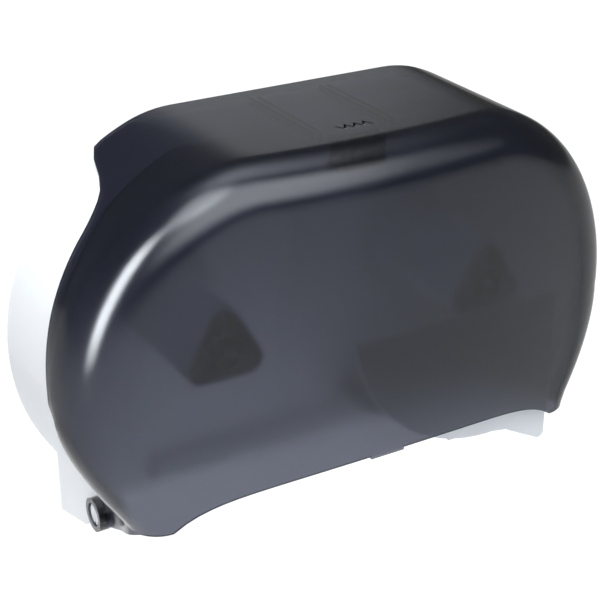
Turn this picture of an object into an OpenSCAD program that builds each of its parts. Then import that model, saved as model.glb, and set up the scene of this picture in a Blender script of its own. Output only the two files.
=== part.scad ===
// Twin jumbo toilet roll dispenser: a bowed, see-through cover hinged at its foot to a wall housing
// that carries two roll hubs, a sliding door, tear strips and a sprung latch.
// Origin: on the wall plane, midway between the two hubs. X to the right, -Y to the front, Z up.

/* [Cover] */
// Width over the cover
cover_w = 490; // [450:1:540]
// Depth of the cover at the middle of its front
cover_d = 168; // [158:1:190]
// How much shallower the bowed front is at the sides than in the middle
front_bow = 37; // [20:1:40]
// Height of the cover's top above the hub centres
top_h = 150; // [145:1:175]
// Wall thickness of the cover
cover_t = 2.8; // [2:0.1:3.4]
// Radius of the large side arcs
corner_r = 179; // [170:0.5:190]
// How far the side arcs would rise above the flat top if they went on
corner_rise = 6; // [3:0.25:8]
// Radius that blends the flat top into the side arcs
blend_r = 100; // [60:1:120]
// Radius of the edge between the top and the front
top_edge_r = 34; // [28:1:42]
// Radius of the edge between the sides and the front
side_edge_r = 46; // [38:1:50]
// Radius of the edge between the lobes at the foot and the front
foot_edge_r = 26; // [14:1:34]
// How far the foot stands in from the widest part of the sides
lobe_inset = 32.6; // [31:0.2:38]
// How far the lower sides are drawn in between the wall and the hinge rings
draw_in = 13; // [8:1:16]
// How far the lobes lean in from the hinge to the front
lobe_lean = 10; // [4:1:14]
// Height of the front edge at the middle, below the hub centres
front_edge_drop = 100.5; // [92:0.5:104]
// Height of the front edge at its corners, below the hub centres
corner_drop = 126; // [120:1:132]
// Height of the lobe's lower edge at the hinge, below the hub centres
lobe_drop = 158; // [154:1:164]
// Least height of the lobe's lower edge below its crease
lobe_lip = 1.5; // [1:0.25:3]
// Width of the thumb tab at the middle of the front edge
thumb_tab_w = 30; // [20:1:50]

/* [Housing] */
// Gap between the cover and the housing walls that it slips over
cover_gap = 0.6; // [0.4:0.1:1.2]
// Thickness of the back plate
back_t = 3; // [2.4:0.1:5]
// Thickness of the housing walls
wall_t = 2.5; // [2:0.1:3.5]
// Gap between the cover and the housing's top
deck_gap = 6.2; // [5.8:0.1:9]
// Depth of the housing's top
deck_d = 70; // [60:1:90]
// How far the housing walls reach in under the cover
lap = 8; // [5:1:12]
// Height of the housing's foot below the hub centres
foot_drop = 180; // [176:1:190]
// Depth of the foot at its lowest
foot_d = 31; // [24:1:36]

/* [Wall screws] */
// Spacing of the wall screw holes across the wall
wall_hole_x = 304.8; // [280:0.1:330]
// Spacing of the wall screw holes up the wall
wall_hole_z = 152.4; // [140:0.1:160]
// Diameter of the wall screw holes
wall_hole_d = 6.5; // [5:0.1:8]

/* [Hinge] */
// Distance of the hinge from the wall
hinge_y = 62; // [58:1:66]
// Height of the hinge below the hub centres
hinge_drop = 151; // [147:1:152]
// Diameter of the hinge pins
pin_d = 10; // [8:0.1:11]
// Running gap round the hinge pins
pin_gap = 0.05; // [0.03:0.01:0.1]
// Diameter of the pin heads
pin_head_d = 17; // [15:0.5:18]
// Thickness of the pin heads
pin_head_t = 4.6; // [3:0.1:5]
// Outer diameter of the rings on the lobes
ring_d = 28; // [26.5:0.5:30]
// Height of the rings above the lobes
ring_h = 6.5; // [5.5:0.1:8]

/* [Roll hubs] */
// Distance from the middle to each hub
hub_x = 118; // [117:1:122]
// Length of the hubs in front of their flange
hub_l = 112; // [100:1:114]
// Distance from a hub's axis to the middle of each of its three lobes
hub_lobe_x = 22; // [18:1:26]
// Radius of the hub lobes
hub_lobe_r = 13; // [11:0.5:16]
// Diameter of the flange behind each roll
flange_d = 90; // [80:1:110]
// Diameter of the spindles
spindle_d = 14; // [12:0.5:16]
// Running gap round the spindles
spindle_gap = 0.08; // [0.04:0.01:0.1]
// Wall thickness of the hubs
hub_wall = 2.4; // [1.8:0.1:3]

/* [Sliding door] */
// Radius of the door's round side
door_r = 134; // [126:1:136]
// Distance from the middle to the centre of the door's round side
door_x = 124; // [122:1:128]
// Height of the door's top edge below the hub centres
door_top = 22; // [16:1:40]
// Distance from the middle to the door's straight side
door_side_x = 184; // [180:1:188]
// Height of the door's lower edge below the hub centres
door_drop = 138; // [136:1:142]
// Distance from the wall to the door's front
door_y = 134; // [130:0.5:135]
// Thickness of the door
door_t = 2.5; // [2:0.1:3]
// Diameter of the rounded end of the door's finger bar
grip_d = 10; // [8:0.5:11]
// Gap between the door's glide and its rail
glide_gap = 0.3; // [0.2:0.05:0.5]
// Length of the door's glide
glide_l = 80; // [60:1:90]

/* [Latch] */
// Width of the latch block
latch_w = 40; // [36:1:44]
// Travel of the latch bolt when the key presses it
bolt_travel = 5; // [3:0.5:6]
// Gap round the latch bolt
bolt_gap = 0.3; // [0.2:0.05:0.4]
// Width of the key slots
key_slot_w = 1.6; // [1:0.1:2.2]
// Wire diameter of the latch spring
wire_d = 0.9; // [0.6:0.1:1.1]

/* [Tear strips] */
// Pitch of the teeth
tooth_pitch = 3; // [2:0.25:5]
// Height of the teeth
tooth_h = 2; // [1:0.25:3]
// Thickness of the tear strips
strip_t = 2; // [1.2:0.1:2.6]

/* [Hidden] */
$fn = 48;
eps = 0.01;

smoke = [0.17, 0.18, 0.22, 0.75];
white = [0.93, 0.94, 0.95];
black = [0.08, 0.08, 0.09];
frost = [0.80, 0.83, 0.85, 0.9];
steel = [0.70, 0.71, 0.72];
grey = [0.45, 0.47, 0.53];

// ---- The shared front-view outline, right half, from the top middle round to the foot ----

half_w = cover_w / 2;
lobe_x = half_w - lobe_inset;
arc_x = half_w - corner_r;
arc_z = top_h + corner_rise - corner_r;
blend_reach = corner_r - blend_r;
flat_x = arc_x + sqrt(pow(blend_reach, 2) - pow(blend_reach - corner_rise, 2));
blend_a = asin((flat_x - arc_x) / blend_reach);
crease_a = 180 - asin((lobe_x - arc_x) / corner_r);
crease_z = arc_z + corner_r * cos(crease_a);

// Stations round the side arc, closer together where the cover's rear edge steps forward
arc_stations = [
    27, 31, 33.5, 35, 36.5, 38.5, 41, 44, 48, 53, 58, 64, 70, 76, 82, 88, 94, 100, 106, 112, 118
];
// Distance of the cover's rear edge from the wall, by angle round the side arc
rear_edge = [
    [0, 0.6], [31, 0.6], [33.5, 3], [35, 19], [36.5, 35], [38.5, 51], [41, 60], [44, 66], [48, 71],
    [58, 75], [70, 80], [82, 86.5], [88, 90], [100, 92], [112, 90], [118, 87], [130, 82]
];
foot_steps = 4;

function arc_station(cx, cz, r, a) = [cx + r * sin(a), cz + r * cos(a), sin(a), cos(a), a];

// Each station holds x, z, the outward normal's x and z, and the angle round the arc
side_stations = concat(
    [for (i = [0:3]) arc_station(flat_x, top_h - blend_r, blend_r, blend_a * i / 3)],
    [for (a = arc_stations) if (a > blend_a + 2 && a < crease_a - 3) arc_station(arc_x, arc_z, corner_r, a)],
    [[lobe_x, crease_z, 1, 0, crease_a]]
);

// ---- Cover shell: rings run round the outline, and rows of the front span from side to side ----

flat_steps = 7;
side_steps = 3;
fillet_steps = 8;
ring_count = side_steps + fillet_steps;

function smooth(t) = let (u = min(1, max(0, t))) u * u * (3 - 2 * u);

row_stations = concat(side_stations, [for (j = [1:foot_steps]) [lobe_x, crease_z, 1, 0, crease_a + j]]);
rows = len(row_stations);
path_len = 2 * rows + 2 * flat_steps - 1;

function front_y(x) = cover_d - front_bow * pow(x / half_w, 2);
function edge_r(s) = s[4] >= crease_a
    ? foot_edge_r
    : let (low = smooth((s[4] - 90) / (crease_a - 90)))
        (side_edge_r + (top_edge_r - side_edge_r) * pow(max(s[3], 0), 2)) * (1 - low) + foot_edge_r * low;
lean_start = hinge_y + 36;
function lean(s) = lobe_lean * smooth((s[4] - 95) / (crease_a - 95));

// The lower sides are drawn in from the wall as far as the hinge rings, most at the foot
ring_r = ring_d / 2;
draw_end = hinge_y - ring_r - 1;
function draw(z, y) =
    draw_in * min(1, max(0, (arc_z - z) / (arc_z - crease_z))) * min(1, y / draw_end);
side_bend_y = front_y(half_w - side_edge_r) - side_edge_r;
function rear_y(s) = min(lookup(s[4], rear_edge), side_bend_y - 2);
function lobe_edge_z(y) = -lobe_drop
    + (lobe_drop - corner_drop) * max(0, (y - hinge_y - 10) / (front_y(lobe_x) - hinge_y - 10));

// A point of the shell on ring k of station s, for side = -1 or 1 and a depth of skin below the outside
function shell_pt(s, side, k, skin) =
    let (
        r = edge_r(s),
        end_x = s[0] - s[2] * r - lean(s),
        y_bend = front_y(end_x) - r,
        turn = 90 * max(0, k - side_steps) / fillet_steps,
        y_side = rear_y(s) + (y_bend - rear_y(s)) * min(1, k / side_steps),
        y = y_side + (k > side_steps ? (r - skin) * sin(turn) : 0),
        inset = skin + (r - skin) * (1 - cos(turn)),
        foot = max(0, s[4] - crease_a) / foot_steps,
        z_side = s[1] - s[3] * inset,
        z = z_side + foot * (min(lobe_edge_z(y), z_side - lobe_lip) - z_side),
        drawn = draw(z, y),
        tuck = drawn + (lean(s) - drawn) * smooth((y - lean_start) / (y_bend - lean_start))
    )
    [side * (s[0] - s[2] * inset - tuck), -y, z];

function path_pt(p, k, skin) =
    p < rows ? shell_pt(row_stations[rows - 1 - p], -1, k, skin)
    : p > path_len - 1 - rows ? shell_pt(row_stations[p - (path_len - rows)], 1, k, skin)
    : let (u = (p - rows + 1) / flat_steps - 1)
        shell_pt([abs(u) * flat_x, top_h, 0, 1, 0], sign(u), k, skin);

// Rows of the front, from the lower edge (row 0) up to the flat top's edge
function row_end(r) = shell_pt(row_stations[rows - 1 - r], 1, ring_count, 0);
low_end_z = row_end(0)[2];
high_end_z = row_end(rows - 1)[2];
function low_edge_z(u) =
    -front_edge_drop + (low_end_z + front_edge_drop) * (0.45 * pow(u, 2) + 0.55 * pow(u, 8));
function front_pt(r, u, skin) =
    let (
        e = row_end(r),
        x = u * e[0],
        t = (e[2] - low_end_z) / (high_end_z - low_end_z),
        z = low_edge_z(u) + t * (high_end_z - low_edge_z(u))
    )
    [x, skin - front_y(x), z];

function skin_points(skin) = concat(
    [for (p = [0:path_len - 1]) for (k = [0:ring_count]) path_pt(p, k, skin)],
    [for (r = [0:rows - 2]) for (i = [1:2 * flat_steps - 1]) front_pt(r, i / flat_steps - 1, skin)]
);

function ring_index(p, k) = p * (ring_count + 1) + k;
function front_index(r, i) =
    i == 0 ? ring_index(r, ring_count)
    : i == 2 * flat_steps ? ring_index(path_len - 1 - r, ring_count)
    : r == rows - 1 ? ring_index(rows - 1 + i, ring_count)
    : path_len * (ring_count + 1) + r * (2 * flat_steps - 1) + i - 1;

skin_quads = concat(
    [for (p = [0:path_len - 2]) for (k = [0:ring_count - 1])
        [ring_index(p, k), ring_index(p + 1, k), ring_index(p + 1, k + 1), ring_index(p, k + 1)]],
    [for (r = [0:rows - 2]) for (i = [0:2 * flat_steps - 1])
        [front_index(r, i), front_index(r + 1, i), front_index(r + 1, i + 1), front_index(r, i + 1)]]
);
rim = concat(
    [for (p = [0:path_len - 1]) ring_index(p, 0)],
    [for (k = [1:ring_count]) ring_index(path_len - 1, k)],
    [for (i = [2 * flat_steps - 1:-1:0]) front_index(0, i)],
    [for (k = [ring_count - 1:-1:1]) ring_index(0, k)]
);

function triangles(q, shift, flip) = flip
    ? [[q[0] + shift, q[1] + shift, q[2] + shift], [q[0] + shift, q[2] + shift, q[3] + shift]]
    : [[q[2] + shift, q[1] + shift, q[0] + shift], [q[3] + shift, q[2] + shift, q[0] + shift]];

module cover_shell() {
    outer = skin_points(0);
    inner = skin_points(cover_t);
    n = len(outer);
    m = len(rim);
    polyhedron(
        points = concat(outer, inner),
        faces = concat(
            [for (q = skin_quads) each triangles(q, 0, true)],
            [for (q = skin_quads) each triangles(q, n, false)],
            [for (i = [0:m - 1]) let (a = rim[i], b = rim[(i + 1) % m]) each
                [[a, a + n, b + n], [a, b + n, b]]]
        ),
        convexity = 6
    );
}

// ---- Small shapes that the pieces share; y is a distance from the wall here ----

module block(x, y, z) {
    translate([x[0], -y[1], z[0]]) cube([x[1] - x[0], y[1] - y[0], z[1] - z[0]]);
}

// A rod along X, from x to x + l
module rod_x(x, y, z, d, l) {
    translate([x, -y, z]) rotate([0, 90, 0]) cylinder(d = d, h = l);
}

// A rod along -Y, from distance y to y + l
module rod_y(x, z, y, d, l) {
    translate([x, -y, z]) rotate([90, 0, 0]) cylinder(d = d, h = l);
}

// A rod along Z, from z to z + l
module rod_z(x, y, z, d, l) {
    translate([x, -y, z]) cylinder(d = d, h = l);
}

// A front-view outline, from distance y to y + t
module front_plate(y, t) {
    translate([0, -y, 0]) rotate([90, 0, 0]) linear_extrude(t) children();
}

// A side-view outline of [distance from the wall, height] points, from x to x + t
module side_plate(points, x, t) {
    translate([x, 0, 0]) rotate([90, 0, 90]) linear_extrude(t) polygon([for (p = points) [-p[0], p[1]]]);
}

module left_side() {
    mirror([1, 0, 0]) children();
}

module both_sides() {
    children();
    left_side() children();
}

// A screw along -Y whose head sits on distance y and whose shank runs back towards the wall
module screw_y(x, z, y, head_d, head_h, shank_d, shank_l) {
    rod_y(x, z, y, head_d, head_h);
    rod_y(x, z, y - shank_l, shank_d, shank_l + eps);
}

// ---- Front cover ----

strike_x = 12;
strike_t = 1.6;
strike_sink = 0.6;
guide_rib_x = [28, 35];
guide_rib_t = 1.4;
guide_rib_y = [15, 110];
guide_rib_clear = 0.7;
key_strokes = 7;
key_stroke_w = 4;
key_y = [107, 114.5];
head_gap = 1;

// Joins the lobe to its hinge ring, in side view
lobe_link = [
    [lean_start - 9, crease_z - 1], [hinge_y + 22, crease_z - 2], [hinge_y + 15, crease_z - 6],
    [hinge_y + 8, -hinge_drop + ring_r - 2], [hinge_y, -hinge_drop], [hinge_y + 4, -hinge_drop - ring_r + 3],
    [hinge_y + 12, lobe_edge_z(hinge_y + 12)], [lean_start - 9, lobe_edge_z(lean_start - 9)]
];

// Three and a half V-shaped strokes side by side
module key_slots() {
    half = key_strokes / 2;
    points = [for (i = [0:key_strokes]) [(i - half) * key_stroke_w, -key_y[i % 2 == 0 ? 0 : 1]]];
    front_edge = [for (p = points) p - [0, key_slot_w]];
    back_edge = [for (i = [key_strokes:-1:0]) points[i] + [0, key_slot_w]];
    translate([0, 0, top_h - 3 * cover_t])
        linear_extrude(5 * cover_t) polygon(concat(front_edge, back_edge));
}

module lobe_ring() {
    rod_x(hinge_x - cover_t, hinge_y, -hinge_drop, ring_d, cover_t + ring_h);
    side_plate(lobe_link, hinge_x - cover_t, cover_t);
}

module lobe_ring_cut() {
    rod_x(hinge_x - 2 * cover_t, hinge_y, -hinge_drop, pin_d + 2 * pin_gap, 4 * cover_t + ring_h);
    rod_x(hinge_x, hinge_y, -hinge_drop, pin_head_d + 2 * head_gap, 2 * ring_h);
}

module front_cover() {
    rib_top = top_h - cover_t / 2;
    color(smoke) difference() {
        union() {
            cover_shell();
            both_sides() {
                lobe_ring();
                for (x = guide_rib_x)
                    block([x - guide_rib_t / 2, x + guide_rib_t / 2], guide_rib_y,
                        [deck_z + guide_rib_clear, rib_top]);
            }
            block([-strike_x, strike_x], [strike_y, strike_y + strike_t], [strike_z, rib_top - strike_sink]);
            block([-thumb_tab_w / 2, thumb_tab_w / 2], [cover_d - cover_t + 0.3, cover_d - 0.5],
                [-front_edge_drop - 2.5, -front_edge_drop + 3]);
        }
        both_sides() lobe_ring_cut();
        key_slots();
    }
}

// ---- Rear housing ----

housing_skin = cover_t + cover_gap;
deck_z = top_h - cover_t - deck_gap;
foot_x = lobe_x - housing_skin;
hinge_x = lobe_x - draw(-hinge_drop, hinge_y);
wall_reach = lean_start + 10;
boss_d = 22;
boss_sink = 0.3;
strip_clear = 1.5;
strip_x = foot_x - draw_in - wall_t - strip_clear;
tongue_w = 48;
tongue_rib_t = 2.5;
divider_t = 2.5;
divider_d = 9;
hole_boss_d = 18;
hole_boss_h = 3;
pad_h = 2;
pad_d = 44;
pad_y = back_t + pad_h;

function housing_outline(skin, foot) =
    let (right = concat(
        [for (s = side_stations) [s[0] - s[2] * skin, s[1] - s[3] * skin]], [[lobe_x - skin, -foot]]
    ))
    concat(right, [for (i = [len(right) - 1:-1:0]) [-right[i][0], right[i][1]]]);

// Side view of the walls: they follow the cover's rear edge and end in the foot
wall_profile = concat(
    [[0, deck_z], [deck_d, deck_z]],
    [for (s = side_stations) if (s[4] > 43) [max(deck_d, rear_y(s) + lap), s[1]]],
    [
        [lean_start - 3, crease_z - 3],
        [lean_start - 3, lobe_edge_z(lean_start - 3) + 5],
        [hinge_y + 13, lobe_edge_z(hinge_y + 13) + 6],
        [hinge_y + 4, -hinge_drop - boss_d / 2 + 0.5],
        [hinge_y - 8, -hinge_drop - boss_d / 2],
        [foot_d + 13, -hinge_drop - boss_d / 2 - 3],
        [foot_d, -foot_drop],
        [0, -foot_drop]
    ]
);

// The housing's outline at a depth of skin, carried forward through the distances ys from the wall
module outline_tube(skin, ys, foot = foot_drop) {
    outline = housing_outline(skin, foot);
    n = len(outline);
    last = (len(ys) - 1) * n;
    points = [for (y = ys) for (p = outline) [p[0] - sign(p[0]) * draw(p[1], max(0, y)), -y, p[1]]];
    sides = [for (j = [0:len(ys) - 2]) for (i = [0:n - 1])
        let (a = j * n + i, b = j * n + (i + 1) % n)
            each [[a, b, b + n], [a, b + n, a + n]]];
    ends = [for (i = [0:n / 2 - 2])
        let (a = i, b = i + 1, c = n - 2 - i, d = n - 1 - i)
            each [
                [c, b, a], [d, c, a],
                [last + a, last + b, last + c], [last + a, last + c, last + d]
            ]];
    polyhedron(points = points, faces = concat(sides, ends), convexity = 8);
}

module housing_walls() {
    intersection() {
        difference() {
            outline_tube(housing_skin, [0, draw_end, wall_reach]);
            intersection() {
                outline_tube(housing_skin + wall_t, [back_t, draw_end, wall_reach + 1], 2 * foot_drop);
                block([-half_w, half_w], [0, 2 * wall_reach], [-2 * foot_drop, deck_z - wall_t]);
            }
        }
        side_plate(wall_profile, -cover_w, 2 * cover_w);
    }
}

strip_screws = [
    [hinge_y - 42, -hinge_drop + 1],
    [hinge_y + 23, lobe_edge_z(hinge_y + 23) + 13]
];

module wall_holes() {
    for (x = [-1, 1], z = [-1, 1])
        rod_y(x * wall_hole_x / 2, z * wall_hole_z / 2, -back_t, wall_hole_d, 3 * back_t + hole_boss_h);
}

module rear_housing() {
    color(white) difference() {
        union() {
            housing_walls();
            block([-tongue_w / 2, tongue_w / 2], [deck_d - 5, tongue_y], [deck_z - wall_t, deck_z]);
            both_sides() {
                block([tongue_w / 2 - tongue_rib_t, tongue_w / 2], [back_t, tongue_y - 6],
                    [deck_z - wall_t - 8, deck_z - wall_t + eps]);
                rod_y(hub_x, 0, back_t - eps, pad_d, pad_h + eps);
                intersection() {
                    union() {
                        rod_x(strip_x, hinge_y, -hinge_drop, boss_d, 2 * draw_in);
                        for (p = strip_screws) rod_x(strip_x, p[0], p[1], 8, 2 * draw_in);
                    }
                    outline_tube(housing_skin + boss_sink, [0, draw_end, wall_reach]);
                }
                for (z = [-1, 1])
                    rod_y(wall_hole_x / 2, z * wall_hole_z / 2, back_t - eps, hole_boss_d, hole_boss_h);
            }
            block([-divider_t / 2, divider_t / 2], [back_t - eps, back_t + divider_d],
                [-foot_drop + 30, deck_z - 1]);
        }
        wall_holes();
        both_sides() {
            rod_x(strip_x - 1, hinge_y, -hinge_drop, pin_d, 3 * draw_in);
            for (p = strip_screws) rod_x(strip_x - 1, p[0], p[1], 3, strip_screw_l + 1);
            spindle_screw_holes();
        }
        for (x = rail_screw_x) rod_y(x, -rail_drop, 1, 3, back_t);
        for (x = [-1, 1]) rod_z(x * latch_screw_x, latch_screw_y, deck_z - 2 * wall_t, 3.6, 3 * wall_t);
    }
}

// ---- Hinge pins ----

module hinge_pin() {
    head_x = hinge_x + 0.3;
    slot_w = 2.4;
    color(white) difference() {
        union() {
            rod_x(head_x, hinge_y, -hinge_drop, pin_head_d, pin_head_t);
            rod_x(strip_x + 1, hinge_y, -hinge_drop, pin_d, head_x - strip_x - 1 + eps);
        }
        translate([head_x + pin_head_t, -hinge_y, -hinge_drop])
            cube([pin_head_t, slot_w, 2 * pin_head_d], center = true);
    }
}

module hinge_pin_left() {
    left_side() hinge_pin();
}

module hinge_pin_right() {
    hinge_pin();
}

// ---- Latch ----

tongue_y = 106.5;
latch_y = tongue_y;
latch_d = 16;
latch_lower = 0.8;
latch_top = deck_z - latch_lower;
latch_floor_t = 2;
bolt_h = 9.5;
spring_turns = 3;
bolt_rest = bolt_travel + (spring_turns + 1) * wire_d + 0.9;
latch_z = latch_top - bolt_h - bolt_rest - latch_floor_t;
bolt_x = 15;
bolt_y = [latch_y + 3.3, latch_y + 13];
bolt_z = latch_z + latch_floor_t + bolt_rest;
nose_x = 7.5;
nose_h = 3.5;
hook_h = 5;
hook_t = 1.8;
strike_y = latch_y + latch_d + 1.9;
strike_z = bolt_z + hook_h + 1.3;
hook_y = strike_y + strike_t + 0.5;
latch_screw_x = 10;
latch_screw_y = latch_y - 8.5;
latch_flange_t = 2.5;

module latch_block() {
    wall = bolt_y[0] - bolt_gap - latch_y;
    well_y = [bolt_y[0] - bolt_gap, bolt_y[1] + bolt_gap];
    color(black) difference() {
        union() {
            block([-latch_w / 2, latch_w / 2], [latch_y, latch_y + latch_d], [latch_z, latch_top]);
            block([-latch_screw_x - 7, latch_screw_x + 7], [latch_screw_y - 6, latch_y + wall],
                [deck_z - wall_t - latch_flange_t, deck_z - wall_t]);
        }
        block([-bolt_x - bolt_gap, bolt_x + bolt_gap], well_y, [latch_z + latch_floor_t, latch_top + 1]);
        block([-nose_x - bolt_gap, nose_x + bolt_gap], [bolt_y[1], latch_y + latch_d + 1],
            [bolt_z - bolt_travel - bolt_gap, bolt_z + nose_h + bolt_gap]);
        for (x = [-1, 1])
            rod_z(x * latch_screw_x, latch_screw_y, deck_z - 3 * wall_t, 3, 3 * wall_t);
    }
}

module latch_bolt() {
    color(black) difference() {
        union() {
            block([-bolt_x, bolt_x], bolt_y, [bolt_z, latch_top - 0.4]);
            block([-nose_x, nose_x], [bolt_y[1] - eps, hook_y + hook_t], [bolt_z, bolt_z + nose_h]);
            block([-nose_x, nose_x], [hook_y, hook_y + hook_t], [bolt_z, bolt_z + hook_h]);
        }
        rod_z(0, (bolt_y[0] + bolt_y[1]) / 2, bolt_z - 1, spring_d - 2, 3);
    }
}

spring_d = 8;
spring_sides = 6;
spring_steps = 12;

// A coil spring swept as one tube, with its ends closed
module latch_spring() {
    r = (spring_d - wire_d) / 2;
    low = latch_z + latch_floor_t + wire_d / 2 + 0.1;
    rise = bolt_rest - wire_d - 0.2;
    n = spring_turns * spring_steps;
    points = [for (i = [0:n]) let (a = 360 * i / spring_steps, h = low + rise * i / n)
        for (j = [0:spring_sides - 1]) let (b = 360 * j / spring_sides, w = r + wire_d / 2 * cos(b))
            [w * cos(a), w * sin(a), h + wire_d / 2 * sin(b)]];
    sides = [for (i = [0:n - 1]) for (j = [0:spring_sides - 1]) let (
            a = i * spring_sides + j,
            b = i * spring_sides + (j + 1) % spring_sides,
            up = spring_sides)
        each [[a, b + up, a + up], [a, b, b + up]]];
    caps = [
        [for (j = [spring_sides - 1:-1:0]) j],
        [for (j = [0:spring_sides - 1]) n * spring_sides + j]
    ];
    color(steel) translate([0, -(bolt_y[0] + bolt_y[1]) / 2, 0])
        polyhedron(points = points, faces = concat(sides, caps), convexity = 8);
}

module latch_screws() {
    color(steel) for (x = [-1, 1]) {
        rod_z(x * latch_screw_x, latch_screw_y, deck_z, 6.5, 1.8);
        rod_z(x * latch_screw_x, latch_screw_y, deck_z - wall_t - latch_flange_t + 0.3, 3,
            wall_t + latch_flange_t - 0.3 + eps);
    }
}

// ---- Roll hubs ----

seat_gap = 0.3;
spindle_flange_d = 38;
spindle_flange_t = 3;
washer_t = 1.6;
hub_y = pad_y + spindle_flange_t + washer_t + 2 * seat_gap;
hub_flange_t = 3;
hub_end = hub_y + hub_flange_t + hub_l;
spindle_end = hub_end + seat_gap;
cap_d = 24;
cap_t = 2;
cap_screw_l = 12;
spindle_screw_x = 14;

module spindle_screw_holes() {
    for (x = [-1, 1]) {
        rod_y(hub_x + x * spindle_screw_x, 0, -1, 7, 3.2);
        rod_y(hub_x + x * spindle_screw_x, 0, -1, 3.2, pad_y + 2);
    }
}

module spindle() {
    color(white) difference() {
        union() {
            rod_y(hub_x, 0, pad_y, spindle_flange_d, spindle_flange_t);
            rod_y(hub_x, 0, pad_y, spindle_d, spindle_end - pad_y);
        }
        rod_y(hub_x, 0, spindle_end - cap_screw_l - 2, 3.6, cap_screw_l + 4);
        for (x = [-1, 1]) rod_y(hub_x + x * spindle_screw_x, 0, pad_y - 1, 3, spindle_flange_t);
    }
}

module spindle_left() {
    left_side() spindle();
}

module spindle_right() {
    spindle();
}

module spindle_screws() {
    color(steel) both_sides() for (x = [-1, 1]) {
        rod_y(hub_x + x * spindle_screw_x, 0, 0.2, 6.4, 2);
        rod_y(hub_x + x * spindle_screw_x, 0, 2.2 - eps, 3, pad_y - 0.4);
    }
}

// The rounded triangle that a roll's core slips over
hub_lobes = [90, 210, 330];
module hub_section(r) {
    hull() for (a = hub_lobes) translate(hub_lobe_x * [cos(a), sin(a)]) circle(r = r, $fn = 32);
}

module hub() {
    bore = spindle_d + 2 * spindle_gap;
    sleeve_d = bore + 2 * hub_wall;
    color(grey) translate([hub_x, 0, 0]) difference() {
        union() {
            rod_y(0, 0, hub_y, flange_d, hub_flange_t);
            difference() {
                front_plate(hub_y, hub_end - hub_y) hub_section(hub_lobe_r);
                front_plate(hub_y + hub_flange_t, hub_l + 1) hub_section(hub_lobe_r - hub_wall);
            }
            rod_y(0, 0, hub_y, sleeve_d, hub_end - hub_y);
            for (a = hub_lobes) rotate([0, -a, 0])
                block([(bore + hub_wall) / 2, hub_lobe_x + hub_lobe_r - hub_wall / 2],
                    [hub_y + hub_flange_t / 2, hub_end - 4], [-hub_wall / 2, hub_wall / 2]);
        }
        rod_y(0, 0, hub_y - 1, bore, hub_end);
    }
}

module hub_left() {
    left_side() hub();
}

module hub_right() {
    hub();
}

// Presses on the hub so that a roll doesn't overrun
module drag_washer() {
    color(steel) difference() {
        rod_y(hub_x, 0, pad_y + spindle_flange_t + seat_gap, spindle_flange_d - 8, washer_t);
        rod_y(hub_x, 0, pad_y, spindle_d + 0.6, spindle_flange_d);
    }
}

module drag_washer_left() {
    left_side() drag_washer();
}

module drag_washer_right() {
    drag_washer();
}

module hub_cap() {
    color(black) difference() {
        rod_y(hub_x, 0, spindle_end, cap_d, cap_t);
        rod_y(hub_x, 0, spindle_end - 1, 3.8, cap_t + 2);
    }
}

module hub_cap_left() {
    left_side() hub_cap();
}

module hub_cap_right() {
    hub_cap();
}

module hub_cap_screws() {
    color(steel) both_sides() screw_y(hub_x, 0, spindle_end + cap_t, 8, 1.8, 3.6, cap_t + cap_screw_l);
}

// ---- Sliding door and its rail ----

door_mid = (door_side_x + door_x - door_r) / 2;
door_centre_z = door_r - door_drop;
floor_z = -door_drop + 4;
door_rim_d = 7;
glide_x = [door_mid - glide_l / 2, door_mid + glide_l / 2];
rail_drop = foot_drop - 17;
rail_h = 16;
rail_d = 10;
rail_wall = 2.5;
rail_mouth = 6;
stop_l = 6;
rail_half = glide_x[1] + 0.5 + stop_l;
rail_screw_x = [-110, 0, 110];
glide_y = back_t + rail_d + 1;
glide_plate_t = 2.5;
web_y = glide_y + glide_plate_t;
glide_screw_x = [glide_x[0] + 14, glide_x[1] - 14];
glide_screw_z = -rail_drop + 11;

// The finger bar's middle line, in front view
grip_from = [door_side_x - 37, -door_drop - 1];
grip_to = [door_side_x - grip_d / 2, -door_drop - 16];

module door_outline() {
    intersection() {
        translate([door_x, door_centre_z]) circle(r = door_r, $fn = 128);
        translate([door_x - door_r, -2 * door_r])
            square([door_side_x - door_x + door_r, 2 * door_r - door_top]);
    }
    polygon([
        [door_x + 4, -door_drop], [door_side_x, -door_drop + 20],
        [door_side_x, grip_to[1]], grip_from - [0, 2]
    ]);
}

module door_rim() {
    difference() {
        door_outline();
        translate([door_x, door_centre_z]) circle(r = door_r - door_t, $fn = 128);
        translate([door_x, -2 * door_r]) square([door_side_x, 2 * door_r]);
    }
}

module sliding_door() {
    floor_side = door_side_x - 2.5;
    floor_front = door_x - door_r * 0.3;
    color(frost) difference() {
        union() {
            front_plate(door_y - door_t, door_t) door_outline();
            front_plate(door_y - door_rim_d, door_rim_d) door_rim();
            translate([0, 0, floor_z]) linear_extrude(door_t) polygon([
                [glide_x[0], -web_y], [floor_side, -web_y], [floor_side, -door_y + 1],
                [floor_front, -door_y + 1], [floor_front, -door_y + 25], [glide_x[0], -door_y + 75]
            ]);
            hull() {
                rod_y(grip_from[0], grip_from[1], door_y - 12, grip_d * 0.7, 12);
                rod_y(grip_to[0], grip_to[1], door_y - 12, grip_d, 12);
            }
            block(glide_x, [web_y, web_y + door_t], [glide_screw_z - 6, floor_z + eps]);
        }
        for (x = glide_screw_x) rod_y(x, glide_screw_z, web_y - 1, 3.6, 2 * door_t);
    }
}

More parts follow.
